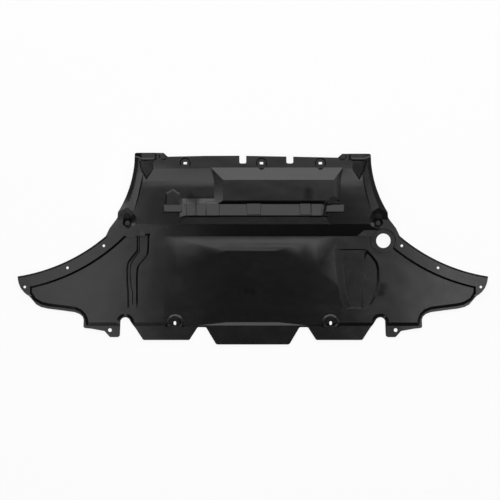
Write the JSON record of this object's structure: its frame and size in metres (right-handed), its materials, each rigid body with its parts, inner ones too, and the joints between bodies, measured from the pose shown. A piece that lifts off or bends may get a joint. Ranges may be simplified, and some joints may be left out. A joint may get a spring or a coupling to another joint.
{
  "type": "engine splash shield",
  "caption": "Wide moulded plastic underbody shield with wheel-arch wings, raised boxes, a round drain opening and screw flanges; closes the bay below a car engine.",
  "frame": {"origin": "middle of the bounding box in plan, at the level of the lowest point of the sheet as it lies", "axes": "+X across the car over the longest extent, +Y from the front tabs to the rear flange, +Z out of the road side of the sheet"},
  "size_m": [1.464, 0.597, 0.0694],
  "materials": {
    "shield_plastic": "satin moulded"
  },
  "bodies": {
    "root": {"splash_shield": "shield_plastic"}
  },
  "joints": []
}
